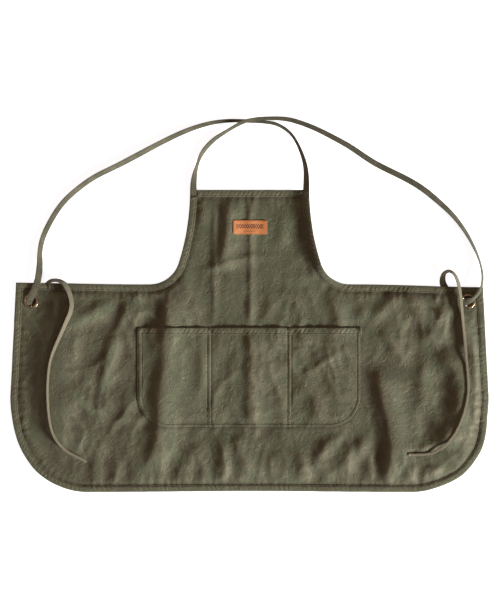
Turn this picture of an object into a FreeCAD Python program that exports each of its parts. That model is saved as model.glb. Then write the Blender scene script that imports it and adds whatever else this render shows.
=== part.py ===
import FreeCAD, Part
import Sketcher
import os
from math import asin, atan2, cos, pi, sin, tan

# A canvas work apron laid flat with its front up.  +X is to the right, +Y towards the bib and
# +Z up.  The origin is under the middle of the cloth, on the surface that it lies on.

Vector = FreeCAD.Vector
up = Vector(0, 0, 1)

doc = FreeCAD.newDocument("apron")
sheet = doc.addObject("Spreadsheet::Sheet", "sizes")

driving_sizes = [
    ("skirt_width", 1100, "widest part of the skirt"),
    ("waist_width", 1073, "between the two top corners of the skirt"),
    ("skirt_height", 478, "waist edge to hem"),
    ("corner_width", 177, "rounded bottom corner, measured across"),
    ("corner_height", 218, "rounded bottom corner, measured up"),
    ("corner_side_radius", 260, "radius of the corner where it leaves the side"),
    ("bib_width", 274, "top edge of the bib"),
    ("bib_height", 217, "waist edge to bib top"),
    ("flare_height", 168, "bib side from its top to the tight turn of the armhole"),
    ("flare_out", 26, "how far the bib side spreads over that height"),
    ("cloth_height", 6, "height of the softly rumpled cloth"),
    ("binding_width", 16, "visible width of every edge binding"),
    ("binding_height", 1.4, "thickness of a binding above the cloth"),
    ("thread_width", 0.9, "width of one row of thread"),
    ("thread_height", 0.5, "height of the thread above its cloth"),
    ("edge_row", 13.5, "stitch row, from the outer edge of a binding"),
    ("pocket_width", 515, "patch pocket, across"),
    ("pocket_height", 231, "patch pocket, top to bottom"),
    ("pocket_drop", 100, "waist edge down to the pocket mouth"),
    ("pocket_corner", 74, "radius of the two bottom corners of the pocket"),
    ("pocket_room", 5, "space behind the pocket cloth"),
    ("pocket_cloth", 1.6, "thickness of the pocket cloth"),
    ("pocket_hem", 16, "folded hem along the pocket mouth"),
    ("hem_height", 1, "thickness of that fold above the pocket cloth"),
    ("seam_band", 12, "sewn band inside the pocket edge and at each divider"),
    ("outer_row", 2, "first stitch row, from the pocket edge"),
    ("inner_row", 10.5, "second stitch row, from the pocket edge"),
    ("divider_reach", 92, "pocket centre to each divider seam"),
    ("divider_gap", 9, "between the two stitch rows of a divider"),
    ("tack_size", 9, "triangular bar tack"),
    ("label_width", 79, "leather patch, across"),
    ("label_height", 33, "leather patch, top to bottom"),
    ("label_drop", 86, "bib top to the middle of the patch"),
    ("label_thickness", 1.8, "leather patch"),
    ("label_corner", 2, "corner radius of the patch"),
    ("label_row", 2, "stitch row, from the edge of the patch"),
    ("eyelet_reach", 502, "centre line of the apron to each eyelet"),
    ("eyelet_drop", 39.5, "waist edge down to each eyelet"),
    ("eyelet_width", 34, "outer diameter of the eyelet flange"),
    ("eyelet_hole", 24, "hole that the strap runs through"),
    ("eyelet_wall", 1, "wall of the eyelet barrel"),
    ("eyelet_rim", 1.4, "height of the eyelet flange"),
    ("washer_width", 30, "washer behind the cloth"),
    ("washer_height", 0.6, "washer behind the cloth"),
    ("strap_room", 4, "space under the cloth where the strap turns back"),
    ("strap_room_reach", 74, "that space, from each eyelet inwards"),
    ("strap_room_height", 105, "that space, down from the waist edge"),
    ("strap_width", 16, "cotton tape"),
    ("strap_thickness", 1.6, "cotton tape"),
]
for row, (alias, value, note) in enumerate(driving_sizes, start=1):
    sheet.set(f"A{row}", alias)
    sheet.set(f"B{row}", str(value))
    sheet.setAlias(f"B{row}", alias)
    sheet.set(f"C{row}", note)
doc.recompute()


def size(alias):
    return float(sheet.get(alias))


sub_parts = []


def keep(piece, label):
    """Names a finished sub-part and puts it on the list that is exported."""
    piece.Label = label
    sub_parts.append(piece)
    return piece


def shaped(label, shape):
    """A sub-part whose outline has tangent arcs, made with Part's own functions."""
    piece = doc.addObject("Part::Feature", label)
    piece.Shape = shape
    piece.Placement = FreeCAD.Placement()
    return keep(piece, label)


def bind(piece, **expressions):
    """Ties properties of an object to the sheet."""
    for name, expression in expressions.items():
        piece.setExpression(name, expression)
    return piece


def placed(piece, x="0", y="0", z="0"):
    """Ties the place of an object to the sheet."""
    for axis, expression in (("x", x), ("y", y), ("z", z)):
        piece.setExpression(f"Placement.Base.{axis}", expression)
    return piece


# ---- places that several pieces share -------------------------------------------------------

total_height = size("skirt_height") + size("bib_height")
bib_top = total_height / 2
hem = -total_height / 2
waist = hem + size("skirt_height")
side = size("skirt_width") / 2
waist_side = size("waist_width") / 2
bib_side = size("bib_width") / 2
cloth_top = size("cloth_height")
binding_top = cloth_top + size("binding_height")

bib_top_cell = "(sizes.skirt_height + sizes.bib_height) / 2"
waist_cell = "(sizes.skirt_height - sizes.bib_height) / 2"


def arc_about(centre, radius, start, end):
    """Arc from one angle to another, in radians, in the XY plane."""
    def at(angle):
        return centre + Vector(radius * cos(angle), radius * sin(angle), 0)
    return Part.Arc(at(start), at((start + end) / 2), at(end)).toShape()


def line(start, end):
    return Part.LineSegment(start, end).toShape()


def armhole_turn():
    """Radius and centre of the two arcs of the armhole, and where it joins the waist edge."""
    flare_height, flare_out = size("flare_height"), size("flare_out")
    flare_radius = (flare_out ** 2 + flare_height ** 2) / (2 * flare_out)
    lean = asin(flare_height / flare_radius)
    drop = size("bib_height") - flare_height
    turn_radius = drop / (1 - sin(lean))
    flare_centre = Vector(bib_side + flare_radius, bib_top, 0)
    turn_centre = Vector(bib_side + flare_out + turn_radius * cos(lean), waist + turn_radius, 0)
    return flare_radius, flare_centre, lean, turn_radius, turn_centre


def right_half_edges():
    """Bib top, armhole, waist edge, side, rounded corner and hem of the right half."""
    flare_radius, flare_centre, lean, turn_radius, turn_centre = armhole_turn()
    corner_width, corner_height = size("corner_width"), size("corner_height")
    side_radius = size("corner_side_radius")
    across, along = side_radius - corner_width, side_radius - corner_height
    low_radius = (side_radius ** 2 - across ** 2 - corner_height ** 2) / (2 * along)
    bend = atan2(corner_height - low_radius, across)
    corner_start = Vector(side, hem + corner_height, 0)
    side_centre = Vector(side - side_radius, corner_start.y, 0)
    low_centre = Vector(side - corner_width, hem + low_radius, 0)
    return [
        line(Vector(0, bib_top, 0), Vector(bib_side, bib_top, 0)),
        arc_about(flare_centre, flare_radius, pi, pi + lean),
        arc_about(turn_centre, turn_radius, pi + lean, 1.5 * pi),
        line(Vector(turn_centre.x, waist, 0), Vector(waist_side, waist, 0)),
        line(Vector(waist_side, waist, 0), corner_start),
        arc_about(side_centre, side_radius, 0, -bend),
        arc_about(low_centre, low_radius, -bend, -pi / 2),
        line(Vector(low_centre.x, hem, 0), Vector(0, hem, 0)),
    ]


def outline_face():
    right = right_half_edges()
    left = [edge.mirror(Vector(0, 0, 0), Vector(1, 0, 0)) for edge in right]
    ordered = Part.__sortEdges__(right + left)
    return Part.Face(Part.Wire(ordered))


def slab(face, low, high):
    """A flat face raised to a height and given a thickness."""
    body = face.copy()
    body.translate(Vector(0, 0, low))
    return body.extrude(Vector(0, 0, high - low))


def inset(face, distance):
    """The same outline, drawn in by a distance."""
    return face.makeOffset2D(-distance, 2, False, False, False)


def band(face, outer, inner, low, high):
    """The strip of an outline between two distances from its edge."""
    whole = face if outer == 0 else inset(face, outer)
    return slab(whole, low, high).cut(slab(inset(face, inner), low - 1, high + 1))


def block(x_low, x_high, y_low, y_high, low=-5, high=40):
    return Part.makeBox(x_high - x_low, y_high - y_low, high - low, Vector(x_low, y_low, low))


# ---- the cloth -------------------------------------------------------------------------------

outline = outline_face()
blank = doc.addObject("Part::Feature", "cloth_blank")
blank.Shape = slab(outline, 0, cloth_top)
blank.Placement = FreeCAD.Placement()

cuts = []
for name, turn in (("left", -1), ("right", 1)):
    room = doc.addObject("Part::Box", f"strap_room_{name}")
    inner = "(sizes.eyelet_reach - sizes.strap_room_reach)"
    bind(room, Length=f"sizes.skirt_width / 2 - {inner}", Width="sizes.strap_room_height",
         Height="sizes.strap_room")
    edge = "-sizes.skirt_width / 2" if turn < 0 else inner
    placed(room, x=edge, y=f"{waist_cell} - sizes.strap_room_height")
    hole = doc.addObject("Part::Cylinder", f"eyelet_seat_{name}")
    bind(hole, Radius="sizes.eyelet_hole / 2 + sizes.eyelet_wall", Height="sizes.cloth_height")
    placed(hole, x=f"{turn} * sizes.eyelet_reach", y=f"{waist_cell} - sizes.eyelet_drop")
    cuts += [room, hole]
cut_group = doc.addObject("Part::MultiFuse", "cloth_cuts")
cut_group.Shapes = cuts
cloth = doc.addObject("Part::Cut", "apron_body")
cloth.Base = blank
cloth.Tool = cut_group
keep(cloth, "apron_body")

# ---- edge bindings and their stitching -------------------------------------------------------

turn_end = armhole_turn()[4].x
width = size("binding_width")
far = side + 50
top_zone = block(-bib_side + width, bib_side - width, bib_top - width, bib_top + 5)


def edge_zones(name, turn):
    """The stretches of the edge that one side's armhole and waist bindings cover."""
    def across(near, out):
        return (near, out) if turn > 0 else (-out, -near)
    armhole = block(*across(0, turn_end), waist - width, bib_top + 5).cut(top_zone)
    along_waist = block(*across(turn_end, waist_side - width), waist - width, waist + 5)
    return (f"armhole_{name}", armhole), (f"waist_{name}", along_waist)


zones = [("bib_top", top_zone)]
for name, turn in (("left", -1), ("right", 1)):
    zones.extend(edge_zones(name, turn))
taken = zones[0][1].multiFuse([zone for _, zone in zones[1:]])
skirt_zone = block(-far, far, hem - 5, waist + 5).cut(taken)
zones.append(("skirt", skirt_zone))

binding_ring = band(outline, 0, width, cloth_top, binding_top)
half_thread = size("thread_width") / 2
edge_row = size("edge_row")
stitch_top = binding_top + size("thread_height")
stitch_ring = band(outline, edge_row - half_thread, edge_row + half_thread, binding_top, stitch_top)
for name, zone in zones:
    shaped(f"{name}_binding", binding_ring.common(zone))
    shaped(f"{name}_stitching", stitch_ring.common(zone))

# ---- patch pocket ------------------------------------------------------------------------------

pocket_top = waist - size("pocket_drop")
pocket_low = pocket_top - size("pocket_height")
pocket_side = size("pocket_width") / 2
room_top = cloth_top + size("pocket_room")
pocket_front = room_top + size("pocket_cloth")


def pocket_face(edge_gap, mouth):
    """Pocket outline, drawn in by a gap at the sides and bottom, up to the mouth."""
    x = pocket_side - edge_gap
    low = pocket_low + edge_gap
    radius = size("pocket_corner") - edge_gap
    corner = low + radius
    right = Vector(x - radius, corner, 0)
    left = Vector(radius - x, corner, 0)
    edges = [
        line(Vector(-x, mouth, 0), Vector(-x, corner, 0)),
        arc_about(left, radius, pi, 1.5 * pi),
        line(Vector(left.x, low, 0), Vector(right.x, low, 0)),
        arc_about(right, radius, -pi / 2, 0),
        line(Vector(x, corner, 0), Vector(x, mouth, 0)),
        line(Vector(x, mouth, 0), Vector(-x, mouth, 0)),
    ]
    return Part.Face(Part.Wire(edges))


def compartments():
    """The three spaces of the pocket, open at the mouth."""
    half_band = size("seam_band") / 2
    reach = size("divider_reach")
    bounds = [-pocket_side, -reach, reach, pocket_side]
    mouth = pocket_top + 10
    inside = slab(pocket_face(size("seam_band"), mouth), cloth_top - 1, room_top)
    return [
        inside.common(block(low + half_band, high - half_band, pocket_low, mouth))
        for low, high in zip(bounds, bounds[1:])
    ]


pocket = slab(pocket_face(0, pocket_top), cloth_top, pocket_front).cut(compartments())
shaped("pocket_panel", pocket)

hem_strip = doc.addObject("Part::Box", "pocket_mouth_hem")
bind(hem_strip, Length="sizes.pocket_width", Width="sizes.pocket_hem", Height="sizes.hem_height")
placed(hem_strip, x="-sizes.pocket_width / 2",
       y=f"{waist_cell} - sizes.pocket_drop - sizes.pocket_hem",
       z="sizes.cloth_height + sizes.pocket_room + sizes.pocket_cloth")
keep(hem_strip, "pocket_mouth_hem")

hem_front = pocket_front + size("hem_height")
row_end = pocket_top - size("pocket_hem")


def pocket_row(gap):
    """One row of thread that follows the pocket's sides and bottom below its hem."""
    outer = slab(pocket_face(gap - half_thread, row_end), pocket_front,
                 pocket_front + size("thread_height"))
    inner = slab(pocket_face(gap + half_thread, row_end + 5), 0, hem_front + 10)
    return outer.cut(inner)


shaped("pocket_outer_stitching", pocket_row(size("outer_row")))
shaped("pocket_inner_stitching", pocket_row(size("inner_row")))


def thread_box(name, x, y, z, length, width_cells):
    """A straight row of thread as a box tied to the sheet."""
    row = doc.addObject("Part::Box", name)
    bind(row, Length=length, Width=width_cells, Height="sizes.thread_height")
    return placed(row, x=x, y=y, z=z)


front_cell = "sizes.cloth_height + sizes.pocket_room + sizes.pocket_cloth"
low_cell = f"{waist_cell} - sizes.pocket_drop - sizes.pocket_height + sizes.seam_band"
for name, turn in (("left", -1), ("right", 1)):
    rows = [
        thread_box(f"divider_row_{name}_{shift}",
                   f"{turn} * sizes.divider_reach + {shift} * sizes.divider_gap / 2"
                   " - sizes.thread_width / 2",
                   low_cell, front_cell, "sizes.thread_width",
                   "sizes.pocket_height - sizes.pocket_hem - sizes.seam_band")
        for shift in (-1, 1)
    ]
    pair = doc.addObject("Part::Compound", f"divider_{name}_stitching")
    pair.Links = rows
    keep(pair, f"divider_{name}_stitching")

mouth_row = thread_box("pocket_mouth_stitching", "-sizes.pocket_width / 2",
                       f"{waist_cell} - sizes.pocket_drop - sizes.edge_row",
                       f"{front_cell} + sizes.hem_height", "sizes.pocket_width",
                       "sizes.thread_width")
keep(mouth_row, "pocket_mouth_stitching")


def tack(x, lean):
    """One bar tack: a triangle of thread that points down from the pocket mouth."""
    wide = size("tack_size")
    top = pocket_top - size("outer_row")
    corners = [Vector(x, top, 0), Vector(x + lean * wide, top, 0), Vector(x, top - wide, 0)]
    face = Part.Face(Part.makePolygon(corners + corners[:1]))
    return slab(face, hem_front, hem_front + size("thread_height"))


tack_places = [
    (-pocket_side + size("outer_row"), 1),
    (-size("divider_reach") + size("divider_gap") / 2, -1),
    (size("divider_reach") - size("divider_gap") / 2, 1),
    (pocket_side - size("outer_row"), -1),
]
shaped("pocket_bar_tacks", Part.makeCompound([tack(x, lean) for x, lean in tack_places]))

# ---- leather patch -----------------------------------------------------------------------------

patch = doc.addObject("PartDesign::Body", "label_patch")
doc.recompute()
ground = next(item for item in patch.Origin.OriginFeatures if item.Role == "XY_Plane")
patch_sketch = patch.newObject("Sketcher::SketchObject", "patch_outline")
patch_sketch.AttachmentSupport = [(ground, "")]
patch_sketch.MapMode = "FlatFace"
label_x, label_y = size("label_width") / 2, size("label_height") / 2
corner_points = [Vector(-label_x, -label_y, 0), Vector(label_x, -label_y, 0),
                 Vector(label_x, label_y, 0), Vector(-label_x, label_y, 0)]
for start, end in zip(corner_points, corner_points[1:] + corner_points[:1]):
    patch_sketch.addGeometry(Part.LineSegment(start, end), False)
sides = patch_sketch.GeometryCount
for index in range(sides):
    patch_sketch.addConstraint(Sketcher.Constraint("Coincident", index, 2, (index + 1) % sides, 1))
for index in (0, 2):
    patch_sketch.addConstraint(Sketcher.Constraint("Horizontal", index))
    patch_sketch.addConstraint(Sketcher.Constraint("Vertical", index + 1))
patch_sketch.addConstraint(Sketcher.Constraint("Symmetric", 0, 1, 1, 2, -1, 1))
across = patch_sketch.addConstraint(Sketcher.Constraint("DistanceX", 0, 1, 0, 2, 2 * label_x))
tall = patch_sketch.addConstraint(Sketcher.Constraint("DistanceY", 1, 1, 1, 2, 2 * label_y))
patch_sketch.renameConstraint(across, "label_width")
patch_sketch.renameConstraint(tall, "label_height")
patch_sketch.setExpression("Constraints.label_width", "sizes.label_width")
patch_sketch.setExpression("Constraints.label_height", "sizes.label_height")
patch_pad = patch.newObject("PartDesign::Pad", "patch_leather")
patch_pad.Profile = patch_sketch
patch_pad.setExpression("Length", "sizes.label_thickness")
doc.recompute()
upright = [
    f"Edge{number}" for number, edge in enumerate(patch_pad.Shape.Edges, start=1)
    if abs(edge.tangentAt(edge.FirstParameter).z) > 0.9
]
patch_round = patch.newObject("PartDesign::Fillet", "patch_corners")
patch_round.Base = (patch_pad, upright)
patch_round.setExpression("Radius", "sizes.label_corner")
patch.Tip = patch_round
placed(patch, y=f"{bib_top_cell} - sizes.label_drop", z="sizes.cloth_height")
keep(patch, "label_patch")

label_middle = bib_top - size("label_drop")
label_front = cloth_top + size("label_thickness")


def label_frame(gap):
    """Rectangle drawn in from the edge of the patch."""
    x, y = label_x - gap, label_y - gap
    return block(-x, x, label_middle - y, label_middle + y, label_front,
                 label_front + size("thread_height"))


label_row = size("label_row")
shaped("label_stitching",
       label_frame(label_row - half_thread).cut(label_frame(label_row + half_thread)))

# ---- eyelets and washers -----------------------------------------------------------------------

eyelet_y = f"{waist_cell} - sizes.eyelet_drop"


def cylinder(name, radius, height, x, z):
    piece = doc.addObject("Part::Cylinder", name)
    bind(piece, Radius=radius, Height=height)
    return placed(piece, x=x, y=eyelet_y, z=z)


def cut(name, base, tool):
    piece = doc.addObject("Part::Cut", name)
    piece.Base = base
    piece.Tool = tool
    return piece


for name, turn in (("left", -1), ("right", 1)):
    x = f"{turn} * sizes.eyelet_reach"
    barrel_radius = "sizes.eyelet_hole / 2 + sizes.eyelet_wall"
    low = "sizes.strap_room - sizes.washer_height"
    flange = cylinder(f"flange_{name}", "sizes.eyelet_width / 2", "sizes.eyelet_rim", x,
                      "sizes.cloth_height")
    barrel = cylinder(f"barrel_{name}", barrel_radius, f"sizes.cloth_height - ({low})", x, low)
    bore = cylinder(f"bore_{name}", "sizes.eyelet_hole / 2", "sizes.cloth_height * 3", x, "0")
    joined = doc.addObject("Part::Fuse", f"eyelet_blank_{name}")
    joined.Base = flange
    joined.Tool = barrel
    keep(cut(f"eyelet_{name}", joined, bore), f"eyelet_{name}")
    disc = cylinder(f"disc_{name}", "sizes.washer_width / 2", "sizes.washer_height", x, low)
    seat = cylinder(f"seat_{name}", barrel_radius, "sizes.cloth_height", x, "0")
    keep(cut(f"eyelet_washer_{name}", disc, seat), f"eyelet_washer_{name}")

# ---- straps ------------------------------------------------------------------------------------
# Each strap is one tape.  It leaves the top corner of the bib, crosses the other one, enters the
# eyelet of the far side from the front, turns back under the cloth, comes up over the waist edge
# and hangs down the front.  The points are chosen by hand.

strap_right_route = [
    Vector(129, 347.5, 6.8), Vector(129, 368, 6.8), Vector(128, 403, 2.2), Vector(118, 436, 1.1),
    Vector(105, 464, 1.1), Vector(84, 487, 1.1), Vector(52, 501, 1.1), Vector(10, 505, 1.1),
    Vector(-58, 507, 1.1), Vector(-112, 496, 1.1), Vector(-163, 477, 1.1),
    Vector(-224, 447, 1.1), Vector(-284, 413, 1.1), Vector(-344, 384, 1.1),
    Vector(-398, 348, 1.1), Vector(-440, 307, 1.1), Vector(-468, 255, 1.1),
    Vector(-482, 208, 2.5), Vector(-481, 164, 8.5), Vector(-489, 127, 10.4),
    Vector(-499.3, 98.6, 9.7), Vector(-504.7, 83.4, 1.1), Vector(-510.4, 67.4, 1.1),
    Vector(-502.3, 52.5, 1.1), Vector(-485.8, 48.5, 1.1), Vector(-471.8, 58.1, 1.1),
    Vector(-466.5, 90, 1.1), Vector(-464, 124, 1.1), Vector(-462, 143, 2.5),
    Vector(-452, 160, 8), Vector(-433, 162, 14.5), Vector(-420, 147, 19),
    Vector(-414, 122, 20), Vector(-407, 91, 17), Vector(-412, 56, 13),
    Vector(-435, 11, 10), Vector(-454, -40, 8.5),
    Vector(-463, -104, 7.3), Vector(-461, -168, 7.3), Vector(-450, -215, 7.3),
    Vector(-422, -251, 7.3), Vector(-392, -267, 7.3), Vector(-373, -279, 7.3),
]
strap_left_route = [
    Vector(-129, 347.5, 6.8), Vector(-129, 368, 6.8), Vector(-128, 396, 3.2),
    Vector(-115, 425, 2.2), Vector(-92, 456, 4.5), Vector(-52, 482, 6.8), Vector(-14, 504, 7.2),
    Vector(36, 512, 7.2), Vector(86, 511, 6.4), Vector(132, 497, 2.0), Vector(192, 469, 1.1),
    Vector(244, 438, 1.1), Vector(290, 405, 1.1), Vector(358, 374, 1.1), Vector(420, 334, 1.1),
    Vector(468, 290, 1.1), Vector(504, 240, 1.1), Vector(528, 186, 2.5), Vector(537, 144, 9.5),
    Vector(529, 112, 10.6), Vector(509.5, 94, 9.7), Vector(494.5, 88, 1.1),
    Vector(478, 80, 1.1), Vector(460, 87, 1.1), Vector(450, 107, 1.1), Vector(445, 130, 1.1),
    Vector(443, 151, 4), Vector(447, 171, 11), Vector(462, 186, 18), Vector(483, 183, 23),
    Vector(492, 164, 25), Vector(489, 138, 23.5), Vector(484, 108, 19), Vector(486, 70, 14),
    Vector(491, 25, 9.5), Vector(494, -40, 8), Vector(502, -105, 7.3), Vector(493, -162, 7.3),
    Vector(474, -207, 7.3), Vector(443, -243, 7.3), Vector(405, -261, 7.3), Vector(366, -261, 7.3),
]


def route_turn(before, corner, after):
    """The angle between two runs, and the largest radius that leaves a tenth of each straight."""
    come, go = corner - before, after - corner
    angle = come.getAngle(go)
    return angle, 0.45 * min(come.Length, go.Length) / tan(angle / 2)


def route_wire(points):
    """Straight runs joined by tangent arcs, and its length."""
    edges, radii = [], []
    place = points[0]
    for before, corner, after in zip(points, points[1:], points[2:]):
        angle, radius = route_turn(before, corner, after)
        back = radius * tan(angle / 2)
        come, go = (corner - before).normalize(), (after - corner).normalize()
        start, end = corner - come * back, corner + go * back
        inward = (go - come).normalize()
        middle = corner + inward * (radius / cos(angle / 2) - radius)
        edges += [line(place, start), Part.Arc(start, middle, end).toShape()]
        radii.append(radius)
        place = end
    edges.append(line(place, points[-1]))
    return Part.Wire(edges), radii


def tape(points):
    """A flat tape swept along the route with its width kept level."""
    path, radii = route_wire(points)
    heading = (points[1] - points[0]).normalize()
    across = heading.cross(up).normalize() * (size("strap_width") / 2)
    rise = up * (size("strap_thickness") / 2)
    start = points[0]
    corners = [start - across - rise, start + across - rise, start + across + rise,
               start - across + rise]
    sweep = Part.BRepOffsetAPI.MakePipeShell(path)
    sweep.setBiNormalMode(up)
    sweep.add(Part.Wire(Part.makePolygon(corners + corners[:1])), False, False)
    sweep.build()
    sweep.makeSolid()
    solid = sweep.shape()
    section = size("strap_width") * size("strap_thickness")
    print(f"  length {path.Length:.0f}, tightest arc {min(radii):.0f},"
          f" volume ratio {solid.Volume / section / path.Length:.3f}")
    print("  arcs", " ".join(f"{radius:.0f}" for radius in radii))
    return solid


for label, route in (("strap_right", strap_right_route), ("strap_left", strap_left_route)):
    print(label)
    shaped(label, tape(route))

# ---- checks and export -------------------------------------------------------------------------

doc.recompute()
for item in doc.Objects:
    assert "Invalid" not in item.State and "Error" not in item.State, item.Name
os.makedirs("parts", exist_ok=True)
for piece in sub_parts:
    assert not piece.Shape.isNull() and piece.Shape.isValid(), piece.Label
    piece.Shape.exportStep(f"parts/{piece.Label}.step")
    box = piece.Shape.BoundBox
    print(f"{piece.Label:26s} {len(piece.Shape.Solids)} solid  volume {piece.Shape.Volume:11.1f}"
          f"  z {box.ZMin:6.2f} {box.ZMax:6.2f}  x {box.XMin:7.1f} {box.XMax:7.1f}"
          f"  y {box.YMin:7.1f} {box.YMax:7.1f}")
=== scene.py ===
from math import asin, atan2, cos, pi, radians, sin

import bpy
import numpy as np
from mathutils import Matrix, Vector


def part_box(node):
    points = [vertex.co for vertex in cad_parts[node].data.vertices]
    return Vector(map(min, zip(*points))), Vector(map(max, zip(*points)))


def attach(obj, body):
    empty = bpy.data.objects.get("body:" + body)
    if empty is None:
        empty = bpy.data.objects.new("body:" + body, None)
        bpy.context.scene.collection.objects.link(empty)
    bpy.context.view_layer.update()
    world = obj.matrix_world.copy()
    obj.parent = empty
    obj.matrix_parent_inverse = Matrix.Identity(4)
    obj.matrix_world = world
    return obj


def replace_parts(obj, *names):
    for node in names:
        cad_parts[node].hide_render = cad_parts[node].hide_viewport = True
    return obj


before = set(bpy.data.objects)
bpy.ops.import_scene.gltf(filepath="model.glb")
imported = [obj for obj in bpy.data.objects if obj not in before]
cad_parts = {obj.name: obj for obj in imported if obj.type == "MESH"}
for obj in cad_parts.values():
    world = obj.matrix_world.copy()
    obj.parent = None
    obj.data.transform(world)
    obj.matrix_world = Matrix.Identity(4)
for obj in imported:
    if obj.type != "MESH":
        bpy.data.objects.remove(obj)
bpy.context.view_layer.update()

mm = 0.001


def corner(node, which):
    return np.array(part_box(node)[which])


bodyLow, bodyHigh = corner("apron_body", 0), corner("apron_body", 1)
hemLine, bibTop, skirtSide = bodyLow[1], bodyHigh[1], bodyHigh[0]
waistLine = corner("waist_left_binding", 1)[1]
bindingWidth = waistLine - corner("waist_left_binding", 0)[1]
bibSide = corner("bib_top_binding", 1)[0] + bindingWidth
waistSide = -corner("waist_left_binding", 0)[0] + bindingWidth
pocketLow, pocketHigh = corner("pocket_panel", 0), corner("pocket_panel", 1)
labelLow, labelHigh = corner("label_patch", 0), corner("label_patch", 1)
pocketRound = 74 * mm  # radius of the pocket's lower corners
eyelets = {name: (corner(f"eyelet_{name}", 0) + corner(f"eyelet_{name}", 1)) / 2
           for name in ("left", "right")}


def clamped(t):
    return np.clip(t, 0, 1)


def smooth(t):
    # 0 below 0, 1 above 1, and an s-curve between
    t = clamped(t)
    return t * t * (3 - 2 * t)


def roundOver(gap, radius):
    # the height of a quarter circle that rises from an edge
    return np.sqrt(clamped(1 - (1 - clamped(gap / radius)) ** 2))


def bell(distance, width):
    # 1 at no distance, falling off to both sides
    return np.exp(-(distance / width) ** 2)


def unitRows(vectors):
    return vectors / np.linalg.norm(vectors, axis=1)[:, None]


def gridFaces(rows, columns, wrap=False):
    # quads of a grid of points; wrap joins the last column to the first
    r = np.arange(rows - 1)[:, None] * columns
    c = np.arange(columns if wrap else columns - 1)[None, :]
    n = (c + 1) % columns
    return np.stack([r + c, r + n, r + columns + n, r + columns + c], -1).reshape(-1, 4)


def placed(name, data):
    thing = bpy.data.objects.new(name, data)
    bpy.context.collection.objects.link(thing)
    return thing


def makePiece(name, points, faces, material, uv=None, crest=None):
    mesh = bpy.data.meshes.new(name)
    mesh.from_pydata(points.reshape(-1, 3).tolist(), [],
                     faces if isinstance(faces, list) else faces.tolist())
    mesh.polygons.foreach_set("use_smooth", np.ones(len(mesh.polygons), bool))
    if uv is not None:
        loops = np.empty(len(mesh.loops), np.int32)
        mesh.loops.foreach_get("vertex_index", loops)
        layer = mesh.uv_layers.new(name="UVMap")
        layer.data.foreach_set("uv", uv.reshape(-1, 2)[loops].ravel())
    if crest is not None:
        layer = mesh.attributes.new("crest", "FLOAT", "POINT")
        layer.data.foreach_set("value", np.asarray(crest, np.float32).ravel())
    mesh.materials.append(material)
    piece = placed(name, mesh)
    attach(piece, "root")
    return piece


def closedSheet(top, bottom, faces):
    # the top surface, the bottom surface turned over, and a rim along every free edge
    count = len(top)
    starts, ends = faces.ravel(), np.roll(faces, -1, 1).ravel()
    free = ~np.isin(starts * count + ends, ends * count + starts)
    a, b = starts[free], ends[free]
    rim = np.stack([b, a, a + count, b + count], 1)
    return np.concatenate([top, bottom]), np.concatenate([faces, faces[:, ::-1] + count, rim])


def gradientNoise(x, y, cell, seed):
    # gradients at the corners of square cells, blended with an s-curve: about -0.7 to 0.7
    table = np.random.default_rng(seed).uniform(0, 2 * pi, (64, 64))
    u, v = x / cell + 640, y / cell + 640
    i, j = np.floor(u).astype(int), np.floor(v).astype(int)
    u, v = u - i, v - j
    total = 0
    for di in (0, 1):
        for dj in (0, 1):
            angle = table[(i + di) % 64, (j + dj) % 64]
            ramp = np.cos(angle) * (u - di) + np.sin(angle) * (v - dj)
            fade = (smooth(u) if di else 1 - smooth(u)) * (smooth(v) if dj else 1 - smooth(v))
            total = total + ramp * fade
    return total


def noiseAlong(along, cell, seed, row=0):
    return gradientNoise(along, along * 0 + row, cell, seed)


def creased(x, y, cell, seed):
    # one minus the size of the noise: rounded ground with sharp raised creases
    return 1 - np.abs(gradientNoise(x, y, cell, seed)) * 3


def pathLength(points):
    steps = np.linalg.norm(np.diff(points, axis=0), axis=1)
    return np.concatenate([[0], np.cumsum(steps)])


def pointsAt(points, along, places):
    return np.stack([np.interp(places, along, column) for column in points.T], 1)


def resample(points, step):
    # points at equal distances along a path
    along = pathLength(points)
    places = np.linspace(0, along[-1], max(int(along[-1] / step) + 1, 2))
    return pointsAt(points, along, places)


def levelLine(reach, y):
    return np.array([[-reach, y], [reach, y]])


def inwardNormals(points, turn):
    # the side of the path that the cloth is on
    tangent = unitRows(np.gradient(points, axis=0))
    return np.stack([-tangent[:, 1], tangent[:, 0]], 1) * turn


outlineShape = {
    "flareOut": 26 * mm,  # how far the bib side spreads above the armhole turn
    "flareHeight": 168 * mm,
    "cornerWidth": 177 * mm,  # rounded lower corners: a wide arc, then a tighter one
    "cornerHeight": 218 * mm,
    "cornerRadius": 260 * mm,
    "leftRise": 4 * mm,  # the left end of the waist edge lies a little high
    "rightDrop": 6.5 * mm,  # and the right end a little low
    "hemRise": 2.5 * mm,  # the middle of the hem is drawn up by its stitching
    "rightSpread": 13 * mm,  # the lower corners lie a little further out
    "leftSpread": 4.5 * mm,
}


def settle(points):
    # the small shifts of cloth that was laid down by hand
    x, y = points[..., 0], points[..., 1]
    nearWaist = smooth((y + 0.15) / 0.25) * smooth((0.16 - y) / 0.02)
    lift = nearWaist * (outlineShape["leftRise"] * smooth((-x - 0.25) / 0.3)
                        - outlineShape["rightDrop"] * smooth((x - 0.25) / 0.3))
    lift = lift + outlineShape["hemRise"] * bell(x, 0.2) * smooth((-0.2 - y) / 0.14)
    low = smooth((-0.16 - y) / 0.1) * smooth((y + 0.352) / 0.05)
    right, left = smooth((x - 0.4) / 0.06), smooth((-0.4 - x) / 0.06)
    push = (outlineShape["rightSpread"] * right - outlineShape["leftSpread"] * left) * low
    return np.stack([x + push, y + lift], -1)


def arcPoints(centre, radius, start, end):
    angle = np.linspace(start, end, 60)
    return centre + radius * np.stack([np.cos(angle), np.sin(angle)], 1)


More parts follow.
